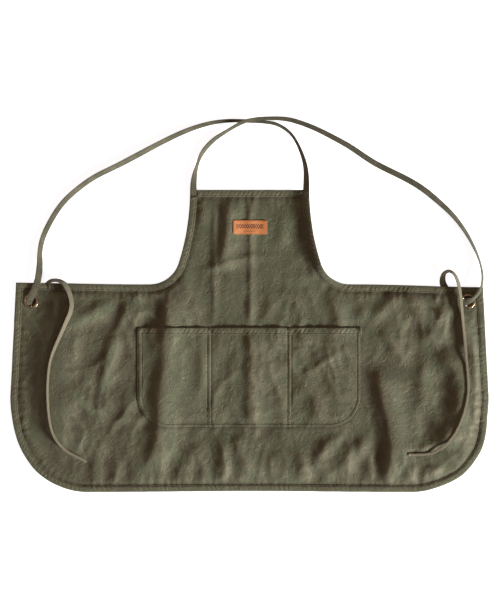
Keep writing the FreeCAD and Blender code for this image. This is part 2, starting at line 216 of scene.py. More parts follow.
def armholePath(turn):
    # a wide arc down the bib side, a tight one, and the waist edge
    out, height = outlineShape["flareOut"], outlineShape["flareHeight"]
    flare = (out ** 2 + height ** 2) / (2 * out)
    lean = asin(height / flare)
    tight = (bibTop - height - waistLine) / (1 - sin(lean))
    upper = arcPoints((bibSide + flare, bibTop), flare, pi, pi + lean)
    centre = (bibSide + out + tight * cos(lean), waistLine + tight)
    lower = arcPoints(centre, tight, pi + lean, 1.5 * pi)
    return np.concatenate([upper, lower[1:], [[waistSide, waistLine]]]) * [turn, 1]


def skirtPath():
    # down the left side, round the two lower corners and up the right side
    wide, tall = outlineShape["cornerWidth"], outlineShape["cornerHeight"]
    big = outlineShape["cornerRadius"]
    tight = (big ** 2 - (big - wide) ** 2 - tall ** 2) / (2 * (big - tall))
    bend = atan2(tall - tight, big - wide)
    upper = arcPoints((skirtSide - big, hemLine + tall), big, 0, -bend)
    lower = arcPoints((skirtSide - wide, hemLine + tight), tight, -bend, -pi / 2)
    right = np.concatenate([[[waistSide, waistLine]], upper, lower[1:]])
    left = right * [-1, 1]
    return np.concatenate([left, right[::-1]])


# each strip of binding: its path, the side that the cloth is on, and its nodes
stepAlong = 2.6 * mm
edgePaths = {
    "bibTop": (levelLine(bibSide - bindingWidth, bibTop), -1, ["bib_top"]),
    "leftArm": (armholePath(-1), 1, ["armhole_left", "waist_left"]),
    "rightArm": (armholePath(1), -1, ["armhole_right", "waist_right"]),
    "skirt": (skirtPath(), 1, ["skirt"]),
}
edgePaths = {name: (settle(resample(path, stepAlong)), turn, nodes)
             for name, (path, turn, nodes) in edgePaths.items()}


# the four edges, end to end, from the left end of the bib top
order = [("bibTop", 1), ("rightArm", 1), ("skirt", -1), ("leftArm", -1)]
outline = resample(np.concatenate([edgePaths[name][0][::way] for name, way in order]), 4 * mm)
outlineAlong = pathLength(outline)


def nearestEdge(x, y):
    # distance to the outline and place along it, for whole arrays
    flat = np.stack([x.ravel(), y.ravel()], 1)
    away, place = np.empty(len(flat)), np.empty(len(flat))
    for first in range(0, len(flat), 4000):
        part = flat[first:first + 4000]
        gap = ((part[:, None] - outline[None]) ** 2).sum(-1)
        best = gap.argmin(1)
        away[first:first + 4000] = np.sqrt(gap[np.arange(len(part)), best])
        place[first:first + 4000] = outlineAlong[best]
    return away.reshape(x.shape), place.reshape(x.shape)


def insideOutline(x, y):
    # counts how often a ray to the right crosses the outline
    inside = np.zeros(x.shape, bool)
    for (x0, y0), (x1, y1) in zip(outline, np.roll(outline, -1, 0)):
        if y0 == y1:
            continue
        between = (y0 > y) != (y1 > y)
        inside ^= between & (x < (x1 - x0) * (y - y0) / (y1 - y0) + x0)
    return inside


# Each fold is a crest: its height, how far its left and right flanks reach, and then x and y of
# the points of its path, in millimetres.  The left flank is towards -X.
folds = [
    # left side: the cloth climbs to a crest under the hanging tail, then falls away slowly
    (17.5, 29, 62, -366, -286, -393, -260, -417, -238, -438, -206, -450, -168, -457, -122,
     -457, -66, -452, -20, -443, 15, -432, 54, -430, 92, -430, 150),
    (6.5, 12, 20, -318, -196, -352, -164, -400, -128, -446, -94),
    (8.5, 16, 22, -430, 12, -392, 42, -353, 67, -318, 96, -296, 120),
    (7.5, 15, 20, -337, -118, -327, -60, -316, -8, -308, 40),
    (7, 12, 17, -304, 10, -282, 66, -272, 108),
    (3.5, 14, 16, -300, -262, -288, -210, -280, -150, -284, -96),
    (3, 9, 12, -402, -60, -400, -10, -396, 40),
    # the long fold left of the middle, from the armhole through the pocket to the hem
    (14, 19, 32, -250, -345, -238, -300, -218, -255, -207, -215, -203, -170, -201, -124, -196, -78,
     -192, -20, -188, 26, -184, 70, -176, 118, -172, 150),
    # bib: its right edge stands up, and two vertical creases run down it
    (15.5, 25, 60, 262, 118, 222, 136, 190, 152, 168, 186, 155, 232, 145, 290, 138, 352),
    (11, 14, 24, -66, 150, -56, 214, -49, 250, -47, 292, -46, 338),
    (3, 4, 7, 2, 30, 3, 170, 3, 230, 2, 290, 1, 346),
    (2.4, 4, 6, -81, 40, -80, 150, -81, 240, -80, 330),
    (4, 8, 16, -122, 150, -66, 170, -2, 197, 40, 208),
    (3, 15, 16, 40, 128, 84, 112, 114, 92, 120, 62),
    (3, 14, 16, 56, 196, 76, 240, 80, 318),
    (3.2, 12, 14, -112, 250, -106, 290, -108, 336),
    (3.6, 9, 12, -4, 20, 2, 60, 4, 110),
    (3, 10, 12, 22, 24, 46, 66, 56, 120),
    # through the pocket
    (7, 13, 26, -6, -212, 3, -170, 5, -100, 5, -20, 4, 34),
    (2.6, 5, 7, 104, -94, 160, -55, 216, -18, 250, 8),
    (4.4, 11, 14, -112, -120, -110, -80, -106, -34, -108, 10),
    (3.2, 12, 14, 176, -60, 186, -30, 190, 12, 184, 60),
    (3.2, 13, 15, 150, -196, 166, -150, 160, -100),
    # pulls between the pocket and the hem
    (4.5, 14, 22, -160, -325, -146, -292, -136, -258, -128, -222),
    (8, 13, 13, -48, -332, -53, -296, -58, -250, -61, -206),
    (7.5, 15, 17, 20, -328, -4, -284, -21, -250, -27, -204),
    (5, 12, 14, 66, -322, 52, -284, 44, -246),
    (7.5, 19, 13, 122, -326, 124, -286, 116, -252, 96, -232),
    (7, 13, 16, 140, -308, 158, -269, 181, -234, 198, -206),
    (8, 14, 15, 194, -326, 213, -292, 226, -260, 244, -220),
    (6.5, 12, 14, 246, -290, 258, -244, 264, -200),
    # right side: the sharp fold beside the pocket, and the crests under the other tail
    (17.5, 19, 30, 312, -335, 325, -290, 331, -240, 323, -182, 310, -124, 304, -94, 294, -46),
    (8, 16, 20, 360, -66, 340, -24, 318, 6, 300, 52),
    (15.5, 20, 30, 372, -262, 428, -246, 457, -223, 476, -193, 485, -159, 487, -113, 480, -78,
     462, -42, 440, -6),
    (6.5, 18, 22, 388, -30, 424, 20, 446, 70, 452, 112),
    (6.5, 12, 17, 496, -40, 495, -8, 491, 26, 489, 66),
    (6, 13, 16, 270, 20, 296, 62, 330, 104, 344, 140),
    (7, 15, 18, 398, 20, 392, 60, 372, 104, 362, 140),
    (8, 15, 18, 214, 0, 212, 20, 204, 60, 194, 94, 182, 130),
    (4, 12, 14, 252, 34, 262, 62, 258, 96),
    (5.5, 14, 18, 404, -170, 396, -120, 398, -70, 410, -20),
    (4.5, 12, 12, 372, -330, 370, -300, 378, -276),
    (4.5, 14, 14, 410, -322, 416, -298, 432, -280),
    (7.5, 12, 13, 520, -200, 519, -150, 523, -90, 518, -30, 512, 30),
]

clothRest = {
    "base": 3.8 * mm,
    "edge": 2.7 * mm,  # where the bindings lie on the table
    "least": 2.5 * mm,
    "softFrom": 15 * mm,
    "softRange": 7 * mm,
    "aroundEyelet": 6.0 * mm,
    "thickness": 1.0 * mm,
}


gridStep = 2 * mm
gridX = np.arange(-skirtSide - 0.02, skirtSide + 0.02, gridStep)
gridY = np.arange(hemLine - 0.02, bibTop + 0.02, gridStep)
crestRound = 3 * mm


def foldHeight(x, y, height, left, right, *path):
    # the crest's place across is a smoothed function of the place along; each flank falls off
    # with the power 1.6 of the distance over its reach, and the fold fades at both ends
    path = np.reshape(path, (-1, 2))
    path = path[np.argsort(path[:, 1], kind="stable")] * mm
    wide = np.pad(np.interp(gridY, path[:, 1], path[:, 0]), 10, "edge")
    crest = np.convolve(wide, np.hanning(23)[1:-1] / 11, "valid")
    lean = np.gradient(crest, gridStep)
    across = (x - crest[:, None]) / np.sqrt(1 + lean ** 2)[:, None]
    width = np.where(across < 0, left, right) * mm
    reach = (np.sqrt(across ** 2 + crestRound ** 2) - crestRound) / width
    length = path[-1, 1] - path[0, 1]
    fade = np.clip(0.05 / length, 0.2, 0.45)
    along = (y - path[0, 1]) / length
    return height * mm * np.exp(-reach ** 1.6) * smooth(along / fade) * smooth((1 - along) / fade)


def crumple(x, y):
    # washed canvas: broad swells, then creases at three sizes that wander with the swells
    shiftX = gradientNoise(x, y, 0.11, 3) * 0.05
    shiftY = gradientNoise(x, y, 0.13, 4) * 0.05
    swell = gradientNoise(x, y * 0.6, 0.11, 5) * 3.2
    large = creased(x + shiftX, (y + shiftY) * 0.5, 0.070, 6) * 2.7
    medium = creased(x + shiftY, (y - shiftX) * 0.6, 0.036, 7) * 1.6
    small = creased(x - shiftX, (y + shiftY) * 0.7, 0.017, 8) * 0.6
    strength = 0.55 + 0.9 * smooth(gradientNoise(x, y, 0.2, 9) * 1.4 + 0.5)
    return (swell + (large + medium + small) * strength) * mm


def pocketHalfWidth(y):
    # half the pocket's width at a height: full, then drawn in round the lower corners
    drop = np.clip(pocketRound - (y - pocketLow[1]), 0, pocketRound)
    return pocketHigh[0] - pocketRound + np.sqrt(pocketRound ** 2 - drop ** 2)


def pocketEdgeGap(x, y):
    # distance in from the sides and the rounded bottom
    dx, dy = np.abs(x) - (pocketHigh[0] - pocketRound), pocketLow[1] + pocketRound - y
    corner = pocketRound - np.hypot(np.maximum(dx, 0), np.maximum(dy, 0))
    straight = np.minimum(pocketHigh[0] - np.abs(x), y - pocketLow[1])
    return np.where((dx > 0) & (dy > 0), corner, straight)


def blurred(table, times):
    for _ in range(times):
        table = (table + np.roll(table, 1, 0) + np.roll(table, -1, 0)
                 + np.roll(table, 1, 1) + np.roll(table, -1, 1)) / 5
    return table


def makeHeights():
    # base, crumple and folds added up, then brought down to the table along the edges
    x, y = np.meshgrid(gridX, gridY)
    edgeGap, edgePlace = nearestEdge(x, y)
    # the bib and the far left lie flatter than the rest
    calm = 1 - 0.65 * smooth((y - waistLine) / 0.06)
    calm *= 1 - 0.5 * smooth((-0.40 - x) / 0.05)
    height = clothRest["base"] + crumple(x, y) * calm
    for fold in folds:
        height = height + foldHeight(x, y, *fold)
    # the highest crests are rounded off
    soft, most = clothRest["softFrom"], clothRest["softRange"]
    height = np.minimum(height, soft + most * np.tanh(np.maximum(height - soft, 0) / most))
    # little puckers that the edge rows pull up, and long ones above the hem
    drift = noiseAlong(edgePlace, 0.05, 11)
    ripple = np.sin(edgePlace / (19 * mm) * 2 * pi + 11 * drift)
    pull = noiseAlong(edgePlace, 0.06, 12, 0.5) + 0.7
    height += 1.1 * mm * ripple * pull * bell(edgeGap - 19 * mm, 14 * mm)
    hemPull = smooth((hemLine + 0.12 - y) / 0.09) * smooth((0.44 - np.abs(x)) / 0.1)
    drift = noiseAlong(edgePlace, 0.18, 13)
    long = np.sin(edgePlace / (48 * mm) * 2 * pi + 6 * drift)
    height += 1.6 * mm * long * hemPull * smooth((edgeGap - 10 * mm) / (25 * mm))
    # down to the table at the edges, apart from the bib's right side
    lay = smooth(edgeGap / (34 * mm))
    rock = 0.6 * mm * (1 + noiseAlong(edgePlace, 0.12, 14) * 2)
    lifted = (21 * mm - edgeGap * 0.32) * smooth((x - 0.10) / 0.03) * smooth((0.235 - x) / 0.03)
    lifted = lifted * smooth((y - 0.12) / 0.06) * (1 - 0.4 * smooth((y - 0.28) / 0.07))
    height = (clothRest["edge"] + rock + lifted) * (1 - lay) + height * lay
    # a dip where the binding is sewn on
    height -= 1.3 * mm * bell(edgeGap - 17.5 * mm, 4 * mm)
    # level round the eyelets, and room for the straps' way back under the cloth
    for place in eyelets.values():
        flat = smooth(2.1 - np.hypot(x - place[0], y - place[1]) / (17 * mm))
        height = height * (1 - flat) + clothRest["aroundEyelet"] * flat
    room = smooth((np.abs(x) - 0.405) / 0.03) * smooth((y - 0.02) / 0.02) * smooth((0.2 - y) / 0.02)
    height = np.maximum(height, room * clothRest["aroundEyelet"] * 0.85)
    height = np.maximum(height, clothRest["least"])
    # how far each place stands above its surroundings, which sets the cloth's colour: crests are
    # painted lighter, part fading and part painted highlight, and hollows are painted darker as
    # painted shade
    crest = 0.5 + (height - blurred(height, 40)) / (3.2 * mm)
    # painted shade in the dip where the binding is sewn on
    crest -= 0.45 * bell(edgeGap - 17.2 * mm, 2.4 * mm)
    # painted shadow: the cloth just outside the pocket's edge is darkened
    pocketEdgeShadow = (y < pocketHigh[1] + 4 * mm) * bell(pocketEdgeGap(x, y) + 1.2 * mm, 2 * mm)
    # painted shade: the far left of the skirt is darkened
    paintedShadeLeft = smooth((-0.23 - x) / 0.06) * smooth((0.11 - y) / 0.04) * smooth((x + 0.5) / 0.05)
    crest -= 0.25 * paintedShadeLeft
    return height, clamped(crest - 0.7 * pocketEdgeShadow)


def sample(table, x, y):
    # a table of values on the height grid, read between its points
    u = np.clip((x - gridX[0]) / gridStep, 0, len(gridX) - 1.001)
    v = np.clip((y - gridY[0]) / gridStep, 0, len(gridY) - 1.001)
    i, j = np.floor(u).astype(int), np.floor(v).astype(int)
    u, v = u - i, v - j
    low = table[j, i] * (1 - u) + table[j, i + 1] * u
    high = table[j + 1, i] * (1 - u) + table[j + 1, i + 1] * u
    return low * (1 - v) + high * v


def clothTop(x, y):
    return sample(heights, x, y)


print("heights")
heights, crests = makeHeights()


def fadeAndPaintedLightAt(x, y):
    return sample(crests, x, y)


class Shade:
    # a socket that can be used in sums
    def __init__(self, maker, socket):
        self.maker, self.socket = maker, socket

    def __add__(self, other):
        return self.maker.math("ADD", self, other)

    def __sub__(self, other):
        return self.maker.math("SUBTRACT", self, other)

    def __rsub__(self, other):
        return self.maker.math("SUBTRACT", other, self)

    def __mul__(self, other):
        return self.maker.math("MULTIPLY", self, other)

    __radd__, __rmul__ = __add__, __mul__


class Maker:
    def __init__(self, name):
        self.material = bpy.data.materials.new(name)
        self.material.use_nodes = True
        self.tree = self.material.node_tree
        self.shader = self.tree.nodes["Principled BSDF"]

    def put(self, socket, value):
        if isinstance(value, Shade):
            self.tree.links.new(value.socket, socket)
        elif isinstance(value, tuple) and len(value) == 3 and socket.type == "RGBA":
            socket.default_value = (*value, 1)
        else:
            socket.default_value = value

    def node(self, kind, settings=None, output=0, **inputs):
        made = self.tree.nodes.new("ShaderNode" + kind)
        for key, value in (settings or {}).items():
            setattr(made, key, value)
        for key, value in inputs.items():
            # in0, in1 and so on are places; the rest are names
            place = int(key[2:]) if key[2:].isdigit() else key.replace("_", " ")
            self.put(made.inputs[place], value)
        return Shade(self, made.outputs[output])

    def math(self, operation, first, second=0.0):
        return self.node("Math", {"operation": operation}, in0=first, in1=second)

    def sine(self, value):
        return self.math("SINE", value)

    def size(self, value):
        return self.math("ABSOLUTE", value)

    def clamp(self, value):
        return self.node("Clamp", Value=value)

    def step(self, value, low, high):
        # 0 below low, 1 above high, smooth between
        return self.node("MapRange", {"interpolation_type": "SMOOTHSTEP"}, Value=value,
                         From_Min=low, From_Max=high)

    def mix(self, share, first, second):
        return self.node("Mix", {"data_type": "RGBA"}, 2, in0=share, in6=first, in7=second)

    def place(self):
        return self.node("TexCoord", None, "Object")

    def uv(self):
        return self.node("UVMap", {"uv_map": "UVMap"})

    def split(self, vector):
        return [self.node("SeparateXYZ", None, k, Vector=vector) for k in range(3)]

    def scaled(self, vector, scale):
        return self.node("VectorMath", {"operation": "MULTIPLY"}, in0=vector, in1=scale)

    def noise(self, vector, scale, detail=3.0, rough=0.55, distortion=0.0):
        return self.node("TexNoise", Vector=vector, Scale=scale, Detail=detail, Roughness=rough,
                         Distortion=distortion)

    def attribute(self, name):
        return self.node("Attribute", {"attribute_name": name}, "Fac")

    def bump(self, height, distance, strength, **under):
        return self.node("Bump", Height=height, Distance=distance, Strength=strength, **under)

    def finish(self, **sockets):
        for key, value in sockets.items():
            self.put(self.shader.inputs[key.replace("_", " ")], value)
        return self.material


canvasLook = {
    "green": (0.069, 0.087, 0.052),
    "fadedAndHighlight": (0.145, 0.127, 0.087),
    "brownAndShade": (0.044, 0.033, 0.024),
    "threadPitch": 0.85 * mm,
    "weaveDepth": 0.10 * mm,
}


def weave(make, across, along, pitch):
    # plain weave: warp and weft threads take turns on top, in a chequer of sines
    u, v = across * (pi / pitch), along * (pi / pitch)
    over = make.step(make.sine(u) * make.sine(v), -0.3, 0.3)
    return over * make.size(make.sine(u)) + (1 - over) * make.size(make.sine(v))


def canvasMaterial(name, lighter):
    make = Maker(name)
    place = make.place()
    x, y, z = make.split(place)
    cloth = weave(make, x, y, canvasLook["threadPitch"])
    blotch = make.noise(place, 9.0, 4.0, 0.6, 0.4)
    patch = make.noise(place, 34.0, 4.0, 0.65, 0.8)
    slub = make.noise(make.scaled(place, (1.0, 14.0, 1.0)), 160.0, 2.0)
    slubAcross = make.noise(make.scaled(place, (14.0, 1.0, 1.0)), 150.0, 2.0)
    speck = make.noise(place, 900.0, 2.0)
    wearAndHighlight = make.step(patch, 0.42, 0.72) * 0.30
    crest = make.attribute("crest")
    # crests painted lighter: part fading, part painted highlight
    wearAndHighlight = wearAndHighlight + make.step(crest, 0.5, 1.0) * 0.5
    tone = make.mix(make.step(blotch, 0.42, 0.66) * 0.35, canvasLook["green"], canvasLook["brownAndShade"])
    tone = make.mix(make.clamp(wearAndHighlight + lighter), tone, canvasLook["fadedAndHighlight"])
    # hollows and seams painted brown: painted shade
    tone = make.mix(make.step(1 - crest, 0.5, 1.0) * 0.6, tone, canvasLook["brownAndShade"])
    yarn = (slub + slubAcross) * 0.5 + speck * 0.5
    tone = make.mix(make.step(yarn, 0.62, 1.05) * 0.30, tone, canvasLook["fadedAndHighlight"])
    tone = make.mix(make.step(1 - yarn, 0.2, 0.55) * 0.22, tone, canvasLook["brownAndShade"])
    rumple = make.noise(place, 62.0, 4.0, 0.58, 1.1)
    ridge = 1 - make.size(rumple - 0.5) * 2
    folded = make.bump(ridge, 1.9 * mm, 0.9)
    woven = make.bump(cloth + slub * 0.5 + slubAcross * 0.5, canvasLook["weaveDepth"], 0.6,
                      Normal=folded)
    return make.finish(Base_Color=tone, Roughness=0.64 - wearAndHighlight * 0.1, Normal=woven,
                       Specular_IOR_Level=0.55, Specular_Tint=(1.0, 0.80, 0.60),
                       Sheen_Weight=0.12, Sheen_Roughness=0.6)


def tapeMaterial(name):
    # UV: along the tape in metres, then across it in metres
    make = Maker(name)
    along, across, _ = make.split(make.uv())
    cloth = weave(make, across, along, 0.9 * mm)
    place = make.place()
    patch = make.noise(place, 40.0, 3.0, 0.6)
    speck = make.noise(place, 700.0, 2.0)
    row = make.size(make.size(across) - 6.2 * mm)
    stitchedDown = make.step(row, 0.9 * mm, 0.2 * mm)
    tone = make.mix(make.step(patch, 0.35, 0.7), (0.074, 0.073, 0.048), (0.122, 0.106, 0.076))
    tone = make.mix(make.step(speck, 0.45, 0.75) * 0.35, tone, (0.175, 0.150, 0.108))
    tone = make.mix(stitchedDown * 0.55, tone, (0.055, 0.045, 0.028))
    # the tails, past about 1.2 m along the tape, are painted lighter tan: painted highlight for
    # their lit face
    tone = make.mix(make.step(along, 1.16, 1.30) * 0.75, tone, (0.200, 0.170, 0.122))
    normal = make.bump(cloth - stitchedDown * 1.5, 0.16 * mm, 0.7)
    return make.finish(Base_Color=tone, Roughness=0.88, Normal=normal, Specular_IOR_Level=0.25,
                       Sheen_Weight=0.1)


def threadMaterial(name, colour, light):
    make = Maker(name)
    x, y, z = make.split(make.place())
    twist = make.sine((x + y) * (2 * pi / (0.7 * mm)) + z * 3000.0)
    fuzz = make.noise(make.place(), 1200.0, 2.0)
    tone = make.mix(make.step(fuzz, 0.35, 0.7), colour, light)
    return make.finish(Base_Color=tone, Roughness=0.75, Normal=make.bump(twist, 0.06 * mm, 0.6))


def leatherMaterial(name):
    make = Maker(name)
    place = make.place()
    x, y, z = make.split(place)
    middleX, middleY = (labelLow[0] + labelHigh[0]) / 2, (labelLow[1] + labelHigh[1]) / 2
    u, v = x - middleX, y - middleY
    cells = make.node("TexVoronoi", {"feature": "DISTANCE_TO_EDGE"}, Vector=place, Scale=900.0)
    pores = make.step(cells, 0.0, 0.25)
    cloud = make.noise(place, 60.0, 4.0, 0.6, 0.5)
    fine = make.noise(place, 500.0, 3.0)
    halfWide, halfTall = (labelHigh[0] - labelLow[0]) / 2, (labelHigh[1] - labelLow[1]) / 2
    rim = make.math("MAXIMUM", make.step(make.size(u), halfWide - 3 * mm, halfWide),
                    make.step(make.size(v), halfTall - 3 * mm, halfTall))
    # the burnt ornament: two zigzags that cross into a chain of diamonds, above a row of dots
    centred = v - 2.4 * mm
    wave = make.math("PINGPONG", u + 31 * mm, 5.16 * mm) * 1.8 - 4.64 * mm
    scroll = 1 - make.step(make.size(centred - wave), 1.0 * mm, 2.4 * mm)
    counter = 1 - make.step(make.size(centred + wave), 1.0 * mm, 2.4 * mm)
    within = 1 - make.step(make.size(u), 31 * mm, 32 * mm)
    dotAcross = make.math("PINGPONG", u, 2.0 * mm)
    dots = 1 - make.step(dotAcross * dotAcross + (v + 9.2 * mm) * (v + 9.2 * mm),
                         (0.7 * mm) ** 2, (1.3 * mm) ** 2)
    short = 1 - make.step(make.size(u), 13 * mm, 13.5 * mm)
    mark = make.clamp((scroll + counter) * within + dots * short)
    tone = make.mix(make.step(cloud, 0.3, 0.75), (0.47, 0.155, 0.052), (0.60, 0.24, 0.092))
    tone = make.mix(make.step(fine, 0.45, 0.7) * 0.3, tone, (0.45, 0.16, 0.055))
    tone = make.mix(rim * 0.55, tone, (0.33, 0.12, 0.045))
    tone = make.mix(mark * 0.9, tone, (0.05, 0.018, 0.016))
    normal = make.bump(pores * 0.35 + fine * 0.3 - mark * 1.2, 0.25 * mm, 0.8)
    return make.finish(Base_Color=tone, Roughness=0.5 + mark * 0.25, Normal=normal,
                       Specular_IOR_Level=0.4)


def brassMaterial(name):
    make = Maker(name)
    place = make.place()
    cloud = make.noise(place, 180.0, 4.0, 0.6)
    scratch = make.noise(make.scaled(place, (1.0, 9.0, 1.0)), 700.0, 2.0)
    aged = make.step(cloud, 0.38, 0.68)
    tone = make.mix(aged, (0.48, 0.40, 0.27), (0.25, 0.19, 0.13))
    return make.finish(Base_Color=tone, Metallic=1.0, Roughness=0.24 + aged * 0.22,
                       Normal=make.bump(scratch, 0.05 * mm, 0.35))


print("materials")
canvas = canvasMaterial("olive canvas", 0.0)
bindingCanvas = canvasMaterial("folded canvas", 0.08)
tapeCloth = tapeMaterial("cotton tape")
darkThread = threadMaterial("dark thread", (0.022, 0.018, 0.011), (0.045, 0.038, 0.025))
leather = leatherMaterial("tan leather")
labelThread = threadMaterial("label thread", (0.20, 0.075, 0.03), (0.32, 0.14, 0.06))
brass = brassMaterial("aged brass")


def makeBody():
    # a square grid of the outline, its ragged edge hidden inside the bindings
    cell = 3.5 * mm
    x, y = np.meshgrid(np.arange(-skirtSide, skirtSide + cell, cell),
                       np.arange(hemLine, bibTop + cell, cell))
    faces = gridFaces(*x.shape)
    middleX, middleY = x.ravel()[faces].mean(1), y.ravel()[faces].mean(1)
    gap, _ = nearestEdge(middleX, middleY)
    keep = insideOutline(middleX, middleY) & (gap > 6 * mm)
    for place in eyelets.values():
        keep &= np.hypot(middleX - place[0], middleY - place[1]) > 14 * mm
    used = np.unique(faces[keep])
    index = np.zeros(x.size, int)
    index[used] = np.arange(len(used))
    faces = index[faces[keep]]
    px, py = x.ravel()[used], y.ravel()[used]
    top = np.stack([px, py, clothTop(px, py)], 1)
    bottom = top - [0, 0, clothRest["thickness"]]
    points, faces = closedSheet(top, bottom, faces)
    crest = np.tile(fadeAndPaintedLightAt(px, py), 2)
    return makePiece("apronCloth", points, faces, canvas, crest=crest)


print("body")
body = makeBody()
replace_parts(body, "apron_body")


bindingShape = {
    "lift": 1.0 * mm,  # top face above the cloth
    "puff": 0.5 * mm,  # rounded between its outer fold and the stitch row
    "row": 13.5 * mm,  # stitch row, from the outer edge
    "ripple": 0.65 * mm,  # the sewn cloth twists into slanted ripples
    "slant": 0.7,
}


def bindingProfile():
    # distance in from the outer edge, and height from the cloth's top face, round the strip
    lift, puff = bindingShape["lift"], bindingShape["puff"]
    topIn = np.array([0.15, 0.9, 2.2, 4.5, 7.5, 10.5, 12.4, 13.5, 14.6, 15.6, 16.0]) * mm
    rise = lift + puff * np.sin(pi * clamped(topIn / (13.5 * mm))) ** 0.7
    rise[0], rise[1] = 0.35 * mm, 0.85 * mm
    rise[7] = 0.45 * mm
    rise[-1] = -0.1 * mm
    depth = np.array([0.1, 0.7, 0.8, 0.8, 0.8, 0.8, 0.8, 0.8, 0.8, 0.6, 0.2]) * mm
    return (np.concatenate([topIn, topIn[::-1]]),
            np.concatenate([rise, -clothRest["thickness"] - depth]))


def makeBinding(name, path, turn, surface, flat=False):
    # the profile carried along the edge, with its ends closed
    inward = inwardNormals(path, turn)
    along = pathLength(path)
    away, rise = bindingProfile()
    if flat:
        rise = np.where(rise > 0, rise * 0.8, rise * 0.5)
    drift = 5 * noiseAlong(along, 0.05, 21)
    slant = away[None] * bindingShape["slant"] / (10.5 * mm) * 2 * pi
    phase = (along / (10.5 * mm) * 2 * pi + drift)[:, None] + slant
    ripple = bindingShape["ripple"] * np.sin(phase)
    strength = 0.7 + 1.2 * noiseAlong(along, 0.045, 23, 0.8)
    spread = 0.35 * mm * noiseAlong(along, 0.03, 22, 0.3)
    xy = path[:, None] + inward[:, None] * (away[None, :, None] + spread[:, None, None])
    mid = bell(away - 9 * mm, 5 * mm) * (rise > 0)
    ripple = ripple * strength[:, None] * mid
    z = surface(xy[..., 0], xy[..., 1]) + rise + ripple
    # ripple tops painted lighter, ripple valleys and the stitch row darker: painted highlight and
    # painted shade
    seam = bell(away - bindingShape["row"], 1.3 * mm) * (rise > 0)
    crest = 0.58 + 0.5 * ripple / bindingShape["ripple"] - 0.5 * seam
    points = np.concatenate([xy, z[..., None]], -1)
    columns = len(away)
    faces = gridFaces(len(path), columns, wrap=True)
    if turn < 0:
        faces = faces[:, ::-1]
    near = np.arange(columns // 2 - 1)
    cap = np.stack([near, near + 1, columns - 2 - near, columns - 1 - near], 1)[:, ::turn]
    faces = np.concatenate([faces, cap[:, ::-1], cap + (len(path) - 1) * columns])
    return makePiece(name, points, faces, bindingCanvas, crest=crest)


print("bindings")
bindings = {}
for name, (path, turn, nodes) in edgePaths.items():
    bindings[name] = makeBinding(f"{name}Binding", path, turn, clothTop)
    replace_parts(bindings[name], *[f"{node}_binding" for node in nodes])


stitchShape = {"pitch": 3.4 * mm, "length": 2.7 * mm, "radius": 0.5 * mm}


def makeStitches(name, lines, surface, material, nodes, pitch=None, radius=None):
    # one short capsule for each stitch: rings along it whose size follows a half circle, bent to
    # dip into the cloth at both ends
    pitch = pitch or stitchShape["pitch"]
    radius = radius or stitchShape["radius"]
    length = pitch * stitchShape["length"] / stitchShape["pitch"]
    centres, headings = [], []
    for line in lines:
        fine = resample(line, 0.5 * mm)
        along = pathLength(fine)
        count = int(along[-1] / pitch)
        places = (np.arange(count) + 0.5) * along[-1] / count
        centres.append(pointsAt(fine, along, places))
        headings.append(pointsAt(fine, along, places + pitch * 0.25)
                        - pointsAt(fine, along, places - pitch * 0.25))
    centres, headings = np.concatenate(centres), unitRows(np.concatenate(headings))
    sides = np.stack([-headings[:, 1], headings[:, 0]], 1)
    rings, around = 5, 6
    t = np.linspace(-1, 1, rings)
    size = np.sqrt(np.clip(1.04 - t ** 2, 0.04, 1))
    angle = np.arange(around) / around * 2 * pi
    lengthwise = np.repeat(t * length / 2, around)
    sideways = (size[:, None] * np.cos(angle)).ravel() * radius
    upward = (size[:, None] * np.sin(angle)).ravel() * radius - np.repeat(t ** 2, around) * radius
    xy = (centres[:, None] + headings[:, None] * lengthwise[None, :, None]
          + sides[:, None] * sideways[None, :, None])
    ground = surface(centres[:, 0], centres[:, 1])
    z = ground[:, None] + radius * 0.75 + upward[None]
    points = np.concatenate([xy, z[..., None]], -1)
    tube = gridFaces(rings, around, wrap=True)
    end = np.array([[0, 1, 2, 3], [0, 3, 4, 5]])
    one = np.concatenate([tube, end[:, ::-1], end + (rings - 1) * around])
    faces = (one[None] + (np.arange(len(centres)) * rings * around)[:, None, None]).reshape(-1, 4)
    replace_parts(makePiece(name, points, faces, material), *nodes)


def bindingFace(x, y):
    return clothTop(x, y) + 0.45 * mm


print("edge stitches")
for name, (path, turn, nodes) in edgePaths.items():
    row = path + inwardNormals(path, turn) * bindingShape["row"]
    makeStitches(f"{name}Stitches", [row], bindingFace, darkThread,
                 [f"{node}_stitching" for node in nodes])


pocketShape = {
    "rows": (2.0 * mm, 10.5 * mm),
    "dividers": 92 * mm,
    "dividerRows": 4.5 * mm,
    "seam": 1.5 * mm,  # height above the cloth at the folded edge
    "belly": 2.3 * mm,  # height above the cloth inside a compartment
    "gape": 0.9 * mm,  # extra height in the middle of each mouth
    "rowDip": 1.0 * mm,
    "thickness": 0.9 * mm,
}


